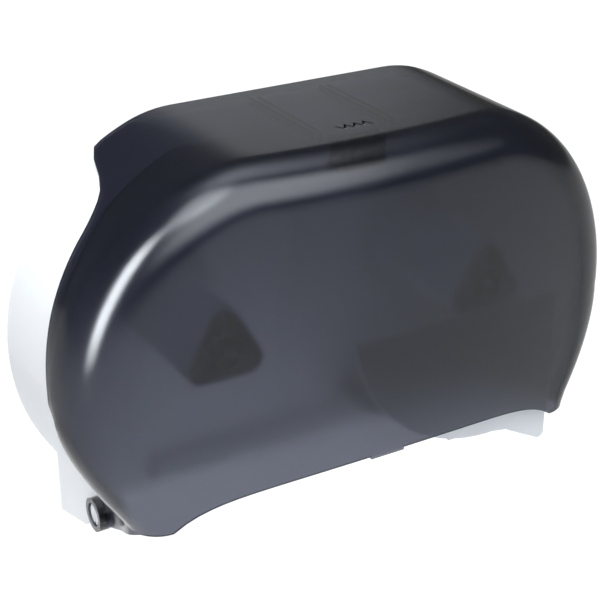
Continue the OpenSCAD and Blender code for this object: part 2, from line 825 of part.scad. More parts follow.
module door_glide() {
    color(grey) difference() {
        union() {
            side_plate(rail_space(glide_gap), glide_x[0], glide_l);
            block(glide_x, [back_t + rail_d - 2 * rail_wall, glide_y + eps],
                [-rail_drop - rail_mouth / 2 + glide_gap, -rail_drop + rail_mouth / 2 - glide_gap]);
            block(glide_x, [glide_y, web_y], [-rail_drop - rail_mouth / 2, glide_screw_z + 6]);
        }
        for (x = glide_screw_x) rod_y(x, glide_screw_z, glide_y - 1, 3.2, 2 * glide_plate_t);
    }
}

module glide_screws() {
    color(steel) for (x = glide_screw_x)
        screw_y(x, glide_screw_z, web_y + door_t, 6.5, 1.8, 3.2, door_t + glide_plate_t - 0.3);
}

// The space inside the rail, as a side-view outline, smaller by gap all round
function rail_space(gap) =
    let (
        y0 = back_t + rail_wall + gap,
        y1 = back_t + rail_d - rail_wall - gap,
        y2 = back_t + rail_d,
        h = (rail_h - 2 * rail_wall + 0.5) / 2 - gap,
        m = rail_mouth / 2 - gap
    )
    [for (p = [[y0, -h], [y0, h], [y1, h], [y1, m], [y2, m], [y2, -m], [y1, -m], [y1, -h]])
        p - [0, rail_drop]];

module door_rail() {
    color(white) difference() {
        block([-rail_half, rail_half], [back_t, back_t + rail_d],
            [-rail_drop - rail_h / 2, -rail_drop + rail_h / 2]);
        translate([-1, 0, 0]) side_plate(rail_space(0), -rail_half, 2 * rail_half + 2);
        block([-rail_half - 1, rail_half + 1], [back_t + rail_d - 1, back_t + rail_d + 1],
            [-rail_drop - rail_mouth / 2, -rail_drop + rail_mouth / 2]);
        for (x = rail_screw_x) {
            rod_y(x, -rail_drop, back_t - 1, 3.2, rail_d);
            rod_y(x, -rail_drop, back_t + 0.4, 6, rail_d);
        }
    }
}

module rail_screws() {
    color(steel) for (x = rail_screw_x) {
        rod_y(x, -rail_drop, back_t + 0.4, 5.8, 1.8);
        rod_y(x, -rail_drop, 1.2, 3, back_t);
    }
}

module door_stop() {
    color(black) side_plate(rail_space(0), rail_half - stop_l, stop_l);
}

module door_stop_left() {
    left_side() door_stop();
}

module door_stop_right() {
    door_stop();
}

// ---- Tear strips ----

strip_y = [hinge_y - 48, hinge_y + 28];
strip_screw_l = strip_clear + wall_t - 1;
strip_top = -hinge_drop + 14;
strip_rise = 0.5;
function strip_low(y) = lobe_edge_z(y) + strip_rise;

module tear_strip() {
    teeth = floor((strip_y[1] - strip_y[0]) / tooth_pitch);
    start = strip_y[0] + (strip_y[1] - strip_y[0] - teeth * tooth_pitch) / 2;
    edge = [for (i = [0:teeth - 1]) let (root = start + i * tooth_pitch, tip = root + tooth_pitch / 2) each [
        [root, strip_low(root)],
        [tip, strip_low(tip) - tooth_h]
    ]];
    outline = concat(
        [[strip_y[1], strip_top], [strip_y[0], strip_top], [strip_y[0], strip_low(strip_y[0])]],
        [for (i = [1:len(edge) - 1]) edge[i]],
        [[strip_y[1], strip_low(strip_y[1])]]
    );
    color(white) difference() {
        side_plate(outline, strip_x - strip_t, strip_t);
        for (p = strip_screws) rod_x(strip_x - 2 * strip_t, p[0], p[1], 3.2, 4 * strip_t);
    }
}

module tear_strip_left() {
    left_side() tear_strip();
}

module tear_strip_right() {
    tear_strip();
}

module tear_strip_screws() {
    color(steel) both_sides() for (p = strip_screws) {
        rod_x(strip_x - strip_t - 1.6, p[0], p[1], 6, 1.6);
        rod_x(strip_x - strip_t - eps, p[0], p[1], 3, strip_t + strip_screw_l - 0.4);
    }
}

rear_housing();
front_cover();
hinge_pin_left();
hinge_pin_right();
latch_block();
latch_bolt();
latch_spring();
latch_screws();
spindle_left();
spindle_right();
spindle_screws();
hub_left();
hub_right();
drag_washer_left();
drag_washer_right();
hub_cap_left();
hub_cap_right();
hub_cap_screws();
sliding_door();
door_glide();
glide_screws();
door_rail();
rail_screws();
door_stop_left();
door_stop_right();
tear_strip_left();
tear_strip_right();
tear_strip_screws();
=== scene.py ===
from math import asin, ceil, copysign, cos, degrees, pi, radians, sin, sqrt

import bmesh
import bpy
from mathutils import Matrix, Vector


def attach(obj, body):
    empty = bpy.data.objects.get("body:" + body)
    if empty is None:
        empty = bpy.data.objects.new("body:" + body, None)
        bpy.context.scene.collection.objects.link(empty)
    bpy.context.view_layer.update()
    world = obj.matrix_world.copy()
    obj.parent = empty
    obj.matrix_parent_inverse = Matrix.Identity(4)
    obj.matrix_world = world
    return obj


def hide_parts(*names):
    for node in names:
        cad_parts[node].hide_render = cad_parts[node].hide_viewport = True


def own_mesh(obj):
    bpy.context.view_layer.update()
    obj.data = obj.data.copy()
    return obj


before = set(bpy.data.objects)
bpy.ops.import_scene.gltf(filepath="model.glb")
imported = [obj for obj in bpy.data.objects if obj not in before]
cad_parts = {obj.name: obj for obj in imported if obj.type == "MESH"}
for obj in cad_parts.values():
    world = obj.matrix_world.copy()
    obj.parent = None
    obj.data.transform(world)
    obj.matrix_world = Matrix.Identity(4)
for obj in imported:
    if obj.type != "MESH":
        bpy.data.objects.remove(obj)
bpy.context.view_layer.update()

# ---- Rear housing ----
# White ABS, moulded in one: a back plate with a wall round it, a deck for the latch, bosses for the
# hinge pins and a foot below. It follows the cover's outline, and four screws hold it to the wall.

half_width = 0.245
top_height = 0.150
cover_depth = 0.168
front_bow = 0.037
cover_wall = 0.0028
side_arc_r = 0.179
side_arc_rise = 0.006
top_blend_r = 0.100
lobe_inset = 0.0326
lobe_x = half_width - lobe_inset
side_arc_x = half_width - side_arc_r
side_arc_z = top_height + side_arc_rise - side_arc_r
top_flat_x = side_arc_x + sqrt(
    (side_arc_r - top_blend_r) ** 2 - (side_arc_r - top_blend_r - side_arc_rise) ** 2
)
blend_angle = asin((top_flat_x - side_arc_x) / (side_arc_r - top_blend_r))
crease_angle = pi - asin((lobe_x - side_arc_x) / side_arc_r)
crease_z = side_arc_z + side_arc_r * cos(crease_angle)

hinge_y = 0.062
hinge_z = -0.151
ring_d = 0.028
lobe_low_z = -0.158
lobe_rise_y = hinge_y + 0.010
corner_low_z = -0.126
lean_start = hinge_y + 0.036
sides_draw_in = 0.013
draw_end = hinge_y - ring_d / 2 - 0.001

# The rear edge's distance from the wall in mm, at angles round the side in degrees from its top
rear_edge_line = [
    (0, 0.6), (31, 0.6), (33.5, 3), (35, 19), (36.5, 35), (38.5, 51), (41, 60), (44, 66), (48, 71),
    (58, 75), (70, 80), (82, 86.5), (88, 90), (100, 92), (112, 90), (118, 87), (130, 82), (180, 82),
]


def outline_stations(step):
    """Right half of the front view, from the flat top to the crease: x, z, normal x, normal z, angle."""
    blend_steps = 6
    arcs = [
        (top_flat_x, top_height - top_blend_r, top_blend_r, blend_angle * i / blend_steps)
        for i in range(blend_steps + 1)
    ]
    count = ceil((crease_angle - blend_angle) / step)
    arcs += [
        (side_arc_x, side_arc_z, side_arc_r, blend_angle + (crease_angle - blend_angle) * i / count)
        for i in range(1, count)
    ]
    places = [(x + r * sin(a), z + r * cos(a), sin(a), cos(a), a) for x, z, r, a in arcs]
    return places + [(lobe_x, crease_z, 1.0, 0.0, crease_angle)]


def draw(z, y):
    """How far the lower sides are drawn in, at a height and a distance from the wall."""
    down = min(1, max(0, (side_arc_z - z) / (side_arc_z - crease_z)))
    return sides_draw_in * down * min(1, max(0, y) / draw_end)


def rear_edge_y(angle):
    """Distance of the cover's rear edge from the wall, eased over the corners of its line."""
    ease_steps = 4
    ease_step = 0.4
    total = 0.0
    for i in range(-ease_steps, ease_steps + 1):
        a = degrees(angle) + i * ease_step
        for (a0, y0), (a1, y1) in zip(rear_edge_line, rear_edge_line[1:]):
            if a0 <= a < a1:
                total += y0 + (y1 - y0) * (a - a0) / (a1 - a0)
        if a < 0:
            total += rear_edge_line[0][1]
    return total / (2 * ease_steps + 1) / 1000


def front_y(x):
    """Distance of the bowed front from the wall."""
    return cover_depth - front_bow * (x / half_width) ** 2


def lobe_edge_z(y):
    """Height of the lobe's lower edge at a distance from the wall."""
    along = max(0, (y - lobe_rise_y) / (front_y(lobe_x) - lobe_rise_y))
    return lobe_low_z + (corner_low_z - lobe_low_z) * along


def prism(points, push):
    """The solid that an outline sweeps when it is pushed straight."""
    solid = bmesh.new()
    face = solid.faces.new([solid.verts.new(p) for p in points])
    grown = bmesh.ops.extrude_face_region(solid, geom=[face])["geom"]
    bmesh.ops.translate(solid, verts=[g for g in grown if isinstance(g, bmesh.types.BMVert)], vec=push)
    bmesh.ops.recalc_face_normals(solid, faces=solid.faces)
    return solid


def block(x0, x1, y0, y1, z0, z1):
    """A box, with its y given as distances from the wall."""
    solid = bmesh.new()
    middle = Vector(((x0 + x1) / 2, -(y0 + y1) / 2, (z0 + z1) / 2))
    size = Vector((abs(x1 - x0), abs(y1 - y0), abs(z1 - z0)))
    bmesh.ops.create_cube(solid, size=1, matrix=Matrix.LocRotScale(middle, None, size))
    return solid


def rod(start, end, diameter, steps=64):
    """A round bar from one point to another."""
    solid = bmesh.new()
    along = Vector(end) - Vector(start)
    middle = (Vector(start) + Vector(end)) / 2
    turn = along.to_track_quat("Z", "Y").to_matrix().to_4x4()
    bmesh.ops.create_cone(
        solid, cap_ends=True, segments=steps, radius1=diameter / 2, radius2=diameter / 2,
        depth=along.length, matrix=Matrix.Translation(middle) @ turn,
    )
    return solid


def combine(body, tool, how):
    """The body with the tool's solid joined to it, cut away, or kept in common."""
    made = []
    for solid in (body, tool):
        mesh = bpy.data.meshes.new("work")
        solid.to_mesh(mesh)
        solid.free()
        made.append(bpy.data.objects.new("work", mesh))
        bpy.context.collection.objects.link(made[-1])
    step = made[0].modifiers.new("combine", "BOOLEAN")
    step.operation = how
    step.object = made[1]
    result = bmesh.new()
    result.from_object(made[0], bpy.context.evaluated_depsgraph_get())
    for o in made:
        mesh = o.data
        bpy.data.objects.remove(o)
        bpy.data.meshes.remove(mesh)
    return result


def both_sides(solid):
    """The solid and its mirror image across the middle, in one mesh."""
    twin = solid.copy()
    bmesh.ops.scale(twin, verts=twin.verts, vec=(-1, 1, 1))
    bmesh.ops.reverse_faces(twin, faces=twin.faces)
    mesh = bpy.data.meshes.new("work")
    twin.to_mesh(mesh)
    twin.free()
    solid.from_mesh(mesh)
    bpy.data.meshes.remove(mesh)
    return solid


def add_piece(name, solid, round_r, material, body, slot, *nodes):
    """Rounds the solid's sharp edges and makes it a piece that stands for CAD nodes."""
    rounded_angle = radians(32)
    crisp_angle = radians(50)
    sharp = [e for e in solid.edges if e.is_manifold and e.calc_face_angle(0) > rounded_angle]
    if round_r:
        bmesh.ops.bevel(
            solid, geom=sharp, affect="EDGES", offset=round_r, segments=2, profile=0.5, material=-1,
            clamp_overlap=True,
        )
    for face in solid.faces:
        face.smooth = True
    for edge in solid.edges:
        edge.smooth = not edge.is_manifold or edge.calc_face_angle(0) < crisp_angle
    mesh = bpy.data.meshes.new(name)
    solid.to_mesh(mesh)
    solid.free()
    mesh.materials.append(material)
    piece = bpy.data.objects.new(name, mesh)
    bpy.context.collection.objects.link(piece)
    piece.modifiers.new("even_shading", "WEIGHTED_NORMAL").keep_sharp = True
    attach(piece, body)
    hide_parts(*nodes)
    return piece


def moulded(name, colour, shade, rough, grain, depth):
    """Two close colours in soft clouds, uneven gloss and a fine grain, as moulded plastic has."""
    material = bpy.data.materials.new(name)
    material.use_nodes = True
    nodes = material.node_tree.nodes
    links = material.node_tree.links
    surface = nodes["Principled BSDF"]
    place = nodes.new("ShaderNodeTexCoord")
    clouds = nodes.new("ShaderNodeTexNoise")
    clouds.inputs["Scale"].default_value = 22
    clouds.inputs["Detail"].default_value = 4
    links.new(place.outputs["Object"], clouds.inputs["Vector"])
    tint = nodes.new("ShaderNodeMix")
    tint.data_type = "RGBA"
    tint.inputs["A"].default_value = (*colour, 1)
    tint.inputs["B"].default_value = (*shade, 1)
    links.new(clouds.outputs["Fac"], tint.inputs["Factor"])
    links.new(tint.outputs["Result"], surface.inputs["Base Color"])
    gloss = nodes.new("ShaderNodeMapRange")
    gloss.inputs["To Min"].default_value = rough[0]
    gloss.inputs["To Max"].default_value = rough[1]
    links.new(clouds.outputs["Fac"], gloss.inputs["Value"])
    links.new(gloss.outputs["Result"], surface.inputs["Roughness"])
    pores = nodes.new("ShaderNodeTexNoise")
    pores.inputs["Scale"].default_value = grain
    pores.inputs["Detail"].default_value = 3
    links.new(place.outputs["Object"], pores.inputs["Vector"])
    bump = nodes.new("ShaderNodeBump")
    bump.inputs["Strength"].default_value = 0.5
    bump.inputs["Distance"].default_value = depth
    links.new(pores.outputs["Fac"], bump.inputs["Height"])
    links.new(bump.outputs["Normal"], surface.inputs["Normal"])
    return material


white_abs = moulded(
    "white_abs", (0.84, 0.86, 0.88), (0.80, 0.82, 0.85), rough=(0.34, 0.44), grain=1400, depth=0.00002
)

cover_gap = 0.0006
wall_t = 0.0025
back_t = 0.003
deck_gap = 0.0062
deck_z = top_height - cover_wall - deck_gap
deck_depth = 0.070
wall_lap = 0.008
wall_start = radians(43)
wall_reach = 0.120
foot_z = -0.180
foot_depth = 0.031
pin_boss_d = 0.022
boss_low_z = hinge_z - pin_boss_d / 2
housing_skin = cover_wall + cover_gap
strip_clear = 0.0015
strip_x = lobe_x - housing_skin - sides_draw_in - wall_t - strip_clear

# Where two parts of the moulding join, one is sunk into the other by this much
sunk = 1e-5


def housing_outline(skin, foot):
    """Front view of the housing at a depth below the cover's outside."""
    right = [
        (x - nx * skin, 0, min(z - nz * skin, deck_z + housing_skin - skin))
        for x, z, nx, nz, _ in outline_stations(radians(2))
    ]
    right.append((lobe_x - skin, 0, foot))
    return right + [(-x, y, z) for x, y, z in reversed(right)]


# Side view of the wall: it follows the cover's rear edge down and ends in the foot
wall_side_view = [(0, top_height), (deck_depth, top_height)]
wall_side_view += [
    (max(deck_depth, rear_edge_y(a) + wall_lap), z)
    for _, z, _, _, a in outline_stations(radians(2)) if a > wall_start
]
wall_side_view += [
    (lean_start - 0.003, crease_z - 0.003),
    (lean_start - 0.003, lobe_edge_z(lean_start - 0.003) + 0.005),
    (hinge_y + 0.013, lobe_edge_z(hinge_y + 0.013) + 0.006),
    (hinge_y + 0.004, boss_low_z + 0.0005),
    (hinge_y - 0.008, boss_low_z),
    (foot_depth + 0.013, boss_low_z - 0.003),
    (foot_depth, foot_z),
    (0, foot_z),
]


def housing_tube(skin, rear, foot):
    """The housing's outline carried forward, with its lower sides drawn in as the cover's are."""
    tube = prism([(x, -rear, z) for x, _, z in housing_outline(skin, foot)], (0, -wall_reach, 0))
    parts = tube.verts[:] + tube.edges[:] + tube.faces[:]
    bmesh.ops.bisect_plane(tube, geom=parts, plane_co=(0, -draw_end, 0), plane_no=(0, 1, 0))
    for v in tube.verts:
        v.co.x -= copysign(draw(v.co.z, -v.co.y), v.co.x)
    return tube


hollow = housing_tube(housing_skin + wall_t, back_t, 2 * foot_z)
housing = combine(housing_tube(housing_skin, 0, foot_z), hollow, "DIFFERENCE")
past_side = 0.3
wall_shape = prism([(-past_side, -y, z) for y, z in wall_side_view], (2 * past_side, 0, 0))
housing = combine(housing, wall_shape, "INTERSECT")

tongue_w = 0.048
tongue_end = 0.1065
under_deck = deck_z - wall_t
tongue = block(-tongue_w / 2, tongue_w / 2, deck_depth - 0.005, tongue_end, under_deck, deck_z)
housing = combine(housing, tongue, "UNION")
rib_t = 0.0025
rib_h = 0.008
rib_end = tongue_end - 0.006
for x in (-tongue_w / 2, tongue_w / 2 - rib_t):
    rib = block(x, x + rib_t, back_t, rib_end, under_deck - rib_h, under_deck + sunk)
    housing = combine(housing, rib, "UNION")

hub_x = 0.118
pad_h = 0.002
pad_d = 0.044
pad = rod((hub_x, -back_t + sunk, 0), (hub_x, -back_t - pad_h, 0), pad_d)
housing = combine(housing, both_sides(pad), "UNION")

screw_boss_d = 0.008
boss_sink = 0.0003
boss_places = [
    (hinge_y, hinge_z, pin_boss_d),
    (hinge_y - 0.042, hinge_z + 0.001, screw_boss_d),
    (hinge_y + 0.023, lobe_edge_z(hinge_y + 0.023) + 0.013, screw_boss_d),
]
for y, z, d in boss_places:
    boss = both_sides(rod((strip_x, -y, z), (strip_x + 2 * sides_draw_in, -y, z), d))
    boss = combine(boss, housing_tube(housing_skin + boss_sink, 0, foot_z), "INTERSECT")
    housing = combine(housing, boss, "UNION")

wall_hole_x = 0.3048 / 2
wall_hole_z = 0.1524 / 2
wall_hole_d = 0.0065
wall_boss_h = 0.003
wall_boss_d = 0.018
hole_behind = 0.01
hole_before = -0.02
for z in (-wall_hole_z, wall_hole_z):
    boss_ends = (wall_hole_x, -back_t + sunk, z), (wall_hole_x, -back_t - wall_boss_h, z)
    housing = combine(housing, both_sides(rod(*boss_ends, wall_boss_d, steps=48)), "UNION")
    hole_ends = (wall_hole_x, hole_behind, z), (wall_hole_x, hole_before, z)
    housing = combine(housing, both_sides(rod(*hole_ends, wall_hole_d, steps=48)), "DIFFERENCE")

divider_t = 0.0025
divider_h = 0.009
divider = block(
    -divider_t / 2, divider_t / 2, back_t - sunk, back_t + divider_h, foot_z + 0.030, deck_z - 0.001
)
housing = combine(housing, divider, "UNION")
pin_d = 0.010
bore_inside = 0.15
bore_outside = 0.26
pin_bore = rod((bore_inside, -hinge_y, hinge_z), (bore_outside, -hinge_y, hinge_z), pin_d)
housing = combine(housing, both_sides(pin_bore), "DIFFERENCE")
bmesh.ops.dissolve_limit(housing, angle_limit=radians(0.5), verts=housing.verts, edges=housing.edges)
add_piece("housing_moulding", housing, 0.0004, white_abs, "housing", "white_housing", "rear_housing")

# ---- Roll hubs and their spindles ----
# A white spindle is screwed to the back plate in each half. A blue-grey three-lobed hub turns on it,
# between a zinc drag washer and a black cap that one screw holds.


def finished(node, round_r, material, body, slot):
    """The node's own shape with its edges rounded, as its own piece."""
    solid = bmesh.new()
    solid.from_mesh(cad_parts[node].data)
    bmesh.ops.remove_doubles(solid, verts=solid.verts, dist=1e-6)
    bmesh.ops.dissolve_limit(solid, angle_limit=radians(0.5), verts=solid.verts, edges=solid.edges)
    return add_piece(node + "_finished", solid, round_r, material, body, slot, node)


black_nylon = moulded(
    "black_nylon", (0.020, 0.020, 0.023), (0.028, 0.028, 0.032), rough=(0.30, 0.46), grain=1800,
    depth=0.00003,
)
grey_acetal = moulded(
    "grey_acetal", (0.60, 0.63, 0.70), (0.64, 0.67, 0.74), rough=(0.28, 0.42), grain=1500, depth=0.00002
)
zinc = moulded(
    "zinc", (0.62, 0.63, 0.65), (0.55, 0.56, 0.58), rough=(0.22, 0.38), grain=2600, depth=0.00001
)
zinc.node_tree.nodes["Principled BSDF"].inputs["Metallic"].default_value = 1.0

for side in ("left", "right"):
    finished("spindle_" + side, 0.0003, white_abs, "housing", "white_housing")
    finished("drag_washer_" + side, 0.0001, zinc, "housing", "steel")
    finished("hub_" + side, 0.0005, grey_acetal, side + "_hub", "grey_hub")
    finished("hub_cap_" + side, 0.0003, black_nylon, "housing", "black_latch")
finished("spindle_screws", 0.0002, zinc, "housing", "steel")
finished("hub_cap_screws", 0.0002, zinc, "housing", "steel")

# ---- Latch ----
# A black block under the key slots, held by two screws, with a bolt that the key presses down. The
# zinc-plated spring stands under the bolt.

finished("latch_block", 0.0003, black_nylon, "housing", "black_latch")
finished("latch_bolt", 0.0002, black_nylon, "bolt", "black_latch")
finished("latch_screws", 0.0002, zinc, "housing", "steel")
spring = finished("latch_spring", 0, zinc, "housing", "steel")
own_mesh(spring)

# ---- Tear strips ----
# A white toothed strip just inside the side wall of each outlet, to tear the paper on. Each is moulded
# apart and held to the housing's side by two zinc screws.

for side in ("left", "right"):
    finished("tear_strip_" + side, 0.0002, white_abs, "housing", "white_housing")
finished("tear_strip_screws", 0.0002, zinc, "housing", "steel")

# ---- Door rail ----
# A white channel that three screws hold to the back plate, for the door's glide to run in. A black
# plug in each end stops the door.

finished("door_rail", 0.0003, white_abs, "housing", "white_housing")
finished("rail_screws", 0.0002, zinc, "housing", "steel")
for side in ("left", "right"):
    finished("door_stop_" + side, 0.0002, black_nylon, "housing", "black_latch")

# ---- Sliding door ----
# Frosted polypropylene plate behind the cover that shuts off one roll. Its finger bar hangs below the
# cover's edge so that it can be pushed aside by hand, and its grey glide runs in the rail.

frosted = moulded(
    "frosted_plastic", (0.70, 0.73, 0.76), (0.64, 0.67, 0.70), rough=(0.42, 0.52), grain=1600,
    depth=0.00003,
)
frosted.node_tree.nodes["Principled BSDF"].inputs["Transmission Weight"].default_value = 0.25
finished("sliding_door", 0.0004, frosted, "door", "frosted_door")
finished("door_glide", 0.0003, grey_acetal, "door", "grey_hub")
finished("glide_screws", 0.0002, zinc, "door", "steel")

# ---- Front cover ----
# One injection-moulded shell of smoked polycarbonate that slips over the housing and turns on two pins
# at its foot. The lobes at the foot carry the rings round the pins, and the top has the key slots.

top_edge_r = 0.034
side_edge_r = 0.046
foot_edge_r = 0.026
lobe_lean = 0.010
lean_angle = radians(95)
front_edge_drop = 0.1005
lobe_lip = 0.0015
flat_steps = 18
side_steps = 8
round_steps = 14
ring_steps = side_steps + round_steps
foot_steps = 6

cover_stations = outline_stations(radians(2.5))
foot_turn = radians(4)
cover_stations += [
    (lobe_x, crease_z, 1.0, 0.0, crease_angle + foot_turn * (j + 1) / foot_steps)
    for j in range(foot_steps)
]
station_count = len(cover_stations)
path_count = 2 * station_count + 2 * flat_steps - 1


def eased(t):
    """A share from 0 to 1 that starts and ends gently."""
    t = min(1, max(0, t))
    return t * t * (3 - 2 * t)


def shell_point(station, foot, side, k, skin):
    """A point of the cover, skin below its outside, on ring k from the rear edge to the front."""
    x, z, nx, nz, a = station
    low = eased((a - pi / 2) / (crease_angle - pi / 2))
    r = (side_edge_r + (top_edge_r - side_edge_r) * max(nz, 0) ** 2) * (1 - low) + foot_edge_r * low
    lean = lobe_lean * eased((a - lean_angle) / (crease_angle - lean_angle))
    y_bend = front_y(x - nx * r - lean) - r
    turn = pi / 2 * max(0, k - side_steps) / round_steps
    rear = rear_edge_y(a)
    y = rear + (y_bend - rear) * min(1, k / side_steps)
    if k > side_steps:
        y += (r - skin) * sin(turn)
    inset = skin + (r - skin) * (1 - cos(turn))
    z_side = z - nz * inset
    z = z_side + foot * (min(lobe_edge_z(y), z_side - lobe_lip) - z_side)
    drawn = draw(z, y)
    tuck = drawn + (lean - drawn) * eased((y - lean_start) / (y_bend - lean_start))
    return Vector((side * (x - nx * inset - tuck), -y, z))


def row_end(row, side, k, skin):
    """The shell's point on a row, counted from the foot up to the flat top."""
    i = station_count - 1 - row
    foot = max(0, i - (station_count - 1 - foot_steps)) / foot_steps
    return shell_point(cover_stations[i], foot, side, k, skin)


low_end_z = row_end(0, 1, ring_steps, 0).z
high_end_z = row_end(station_count - 1, 1, ring_steps, 0).z


def path_point(p, k, skin):
    """The shell's point on a path from the left foot over the top to the right foot."""
    if p < station_count:
        return row_end(p, -1, k, skin)
    if p > path_count - 1 - station_count:
        return row_end(path_count - 1 - p, 1, k, skin)
    u = (p - station_count + 1) / flat_steps - 1
    return shell_point((abs(u) * top_flat_x, top_height, 0.0, 1.0, 0.0), 0, 1 if u >= 0 else -1, k, skin)


def front_point(row, u, skin):
    """A point of the bowed front, which spans from side to side."""
    end = row_end(row, 1, ring_steps, 0)
    x = u * end.x
    # The lower edge falls slowly from its middle and fast near its corners
    dip = 0.45 * u ** 2 + 0.55 * u ** 8
    low = -front_edge_drop + (low_end_z + front_edge_drop) * dip
    t = (end.z - low_end_z) / (high_end_z - low_end_z)
    return Vector((x, skin - front_y(x), low + t * (high_end_z - low)))


def cover_skin(skin):
    """One face of the cover's wall: a strip over the sides and top, and the front that it frames."""
    shell = bmesh.new()
    strip = bmesh.ops.create_grid(shell, x_segments=path_count - 1, y_segments=ring_steps, size=1)
    for v in strip["verts"]:
        p = round((v.co.x + 1) / 2 * (path_count - 1))
        k = round((v.co.y + 1) / 2 * ring_steps)
        v.co = path_point(p, k, skin)
    front = bmesh.ops.create_grid(shell, x_segments=2 * flat_steps, y_segments=station_count - 1, size=1)
    side_column = 0.999
    for v in front["verts"]:
        row = round((v.co.y + 1) / 2 * (station_count - 1))
        if abs(v.co.x) > side_column:
            v.co = row_end(row, copysign(1, v.co.x), ring_steps, skin)
        else:
            v.co = front_point(row, v.co.x, skin)
    bmesh.ops.remove_doubles(shell, verts=shell.verts, dist=1e-5)
    bmesh.ops.recalc_face_normals(shell, faces=shell.faces)
    return shell


cover = cover_skin(0)
inside = cover_skin(cover_wall)
work = bpy.data.meshes.new("work")
inside.to_mesh(work)
inside.free()
cover.from_mesh(work)
bpy.data.meshes.remove(work)
bmesh.ops.bridge_loops(cover, edges=[e for e in cover.edges if e.is_boundary])
bmesh.ops.recalc_face_normals(cover, faces=cover.faces)

hinge_x = lobe_x - draw(hinge_z, hinge_y)
ring_h = 0.0065
link_front = lean_start - 0.009
link = [
    (link_front, crease_z - 0.001), (hinge_y + 0.022, crease_z - 0.002),
    (hinge_y + 0.015, crease_z - 0.006), (hinge_y + 0.008, hinge_z + ring_d / 2 - 0.002),
    (hinge_y, hinge_z), (hinge_y + 0.004, hinge_z - ring_d / 2 + 0.003),
    (hinge_y + 0.012, lobe_edge_z(hinge_y + 0.012)), (link_front, lobe_edge_z(link_front)),
]

# The link and the ring stop a hair short of the wall's faces, so that no two faces lie in one plane
hair = 0.0001
link_x = hinge_x - cover_wall + hair
link_plate = prism([(link_x, -y, z) for y, z in link], (cover_wall - 2 * hair, 0, 0))
cover = combine(cover, both_sides(link_plate), "UNION")
ring = rod((link_x + hair, -hinge_y, hinge_z), (hinge_x + ring_h, -hinge_y, hinge_z), ring_d, steps=96)
cover = combine(cover, both_sides(ring), "UNION")

guide_rib_t = 0.0014
guide_rib_rear = 0.015
guide_rib_front = 0.110
guide_rib_low = deck_z + 0.0007
for x in (0.028, 0.035):
    rib = block(
        x - guide_rib_t / 2, x + guide_rib_t / 2, guide_rib_rear, guide_rib_front,
        guide_rib_low, top_height - cover_wall / 2,
    )
    cover = combine(cover, both_sides(rib), "UNION")
strike_w = 0.024
strike_back = 0.1244
strike_t = 0.0016
strike_low = 0.1370
strike_high = top_height - 0.0020
strike = block(
    -strike_w / 2, strike_w / 2, strike_back, strike_back + strike_t, strike_low, strike_high
)
cover = combine(cover, strike, "UNION")
thumb_tab_w = 0.030
thumb_tab_drop = 0.0025
tab = block(
    -thumb_tab_w / 2, thumb_tab_w / 2, cover_depth - cover_wall + 0.0003, cover_depth - 0.0005,
    -front_edge_drop - thumb_tab_drop, -front_edge_drop + 0.003,
)
cover = combine(cover, tab, "UNION")

pin_hole_d = pin_d + 0.0001
ring_inside = 0.18
ring_outside = 0.22
pin_hole = rod((ring_inside, -hinge_y, hinge_z), (ring_outside, -hinge_y, hinge_z), pin_hole_d)
cover = combine(cover, both_sides(pin_hole), "DIFFERENCE")
head_room_d = 0.019
head_room = rod(
    (hinge_x, -hinge_y, hinge_z), (ring_outside + 0.01, -hinge_y, hinge_z), head_room_d, steps=96
)
cover = combine(cover, both_sides(head_room), "DIFFERENCE")

key_strokes = 7
key_stroke_w = 0.004
key_slot_w = 0.0016
key_rows = (0.107, 0.1145)
key_cut = 0.01
zigzag = [((i - key_strokes / 2) * key_stroke_w, -key_rows[i % 2]) for i in range(key_strokes + 1)]
key_slots = prism(
    [(x, y - key_slot_w, top_height - key_cut) for x, y in zigzag]
    + [(x, y + key_slot_w, top_height - key_cut) for x, y in reversed(zigzag)],
    (0, 0, 2 * key_cut),
)
cover = combine(cover, key_slots, "DIFFERENCE")

# Clear plastic under a satin coat, with a pigment all through it that darkens what lies behind it
# and turns it a little blue
smoked = moulded(
    "smoked_polycarbonate", (0.86, 0.87, 0.90), (0.84, 0.85, 0.88), rough=(0.17, 0.22), grain=260,
    depth=0.00002,
)
smoke = smoked.node_tree.nodes["Principled BSDF"]
smoke.inputs["Transmission Weight"].default_value = 1.0
smoke.inputs["IOR"].default_value = 1.45
smoke.inputs["Specular IOR Level"].default_value = 0.3
smoke.inputs["Coat Weight"].default_value = 1.0
smoke.inputs["Coat Roughness"].default_value = 0.14
smoke.inputs["Coat IOR"].default_value = 1.5
pigment = smoked.node_tree.nodes.new("ShaderNodeVolumeAbsorption")
pigment.inputs["Color"].default_value = (0.0, 0.03, 0.16, 1)
pigment.inputs["Density"].default_value = 580
smoked_end = smoked.node_tree.nodes["Material Output"]
smoked.node_tree.links.new(pigment.outputs["Volume"], smoked_end.inputs["Volume"])
add_piece("smoked_cover", cover, 0, smoked, "cover", "smoked_cover", "front_cover")

# ---- Hinge pins ----
# White pins with a slotted head, pushed in last: each goes through a ring of the cover into a boss of
# the housing, where it stays put while the cover turns on it.

for side in ("left", "right"):
    finished("hinge_pin_" + side, 0.0003, white_abs, "housing", "white_housing")

# ---- Camera, floor and lights ----
# The camera looks down on the left of the front. The object hangs above a pale floor, under one large
# soft lamp in front, one overhead, and weaker ones that only give the cover its highlights.

camera = bpy.data.objects.new("camera", bpy.data.cameras.new("camera"))
camera.location = (-0.5654, -1.0016, 0.5197)
yaw = radians(30.24)
pitch = radians(25.94)
look = Vector((sin(yaw) * cos(pitch), cos(yaw) * cos(pitch), -sin(pitch)))
camera.rotation_euler = look.to_track_quat("-Z", "Y").to_euler()
camera.data.lens = 90.6
camera.data.clip_start = 0.01
bpy.context.collection.objects.link(camera)
bpy.context.scene.camera = camera

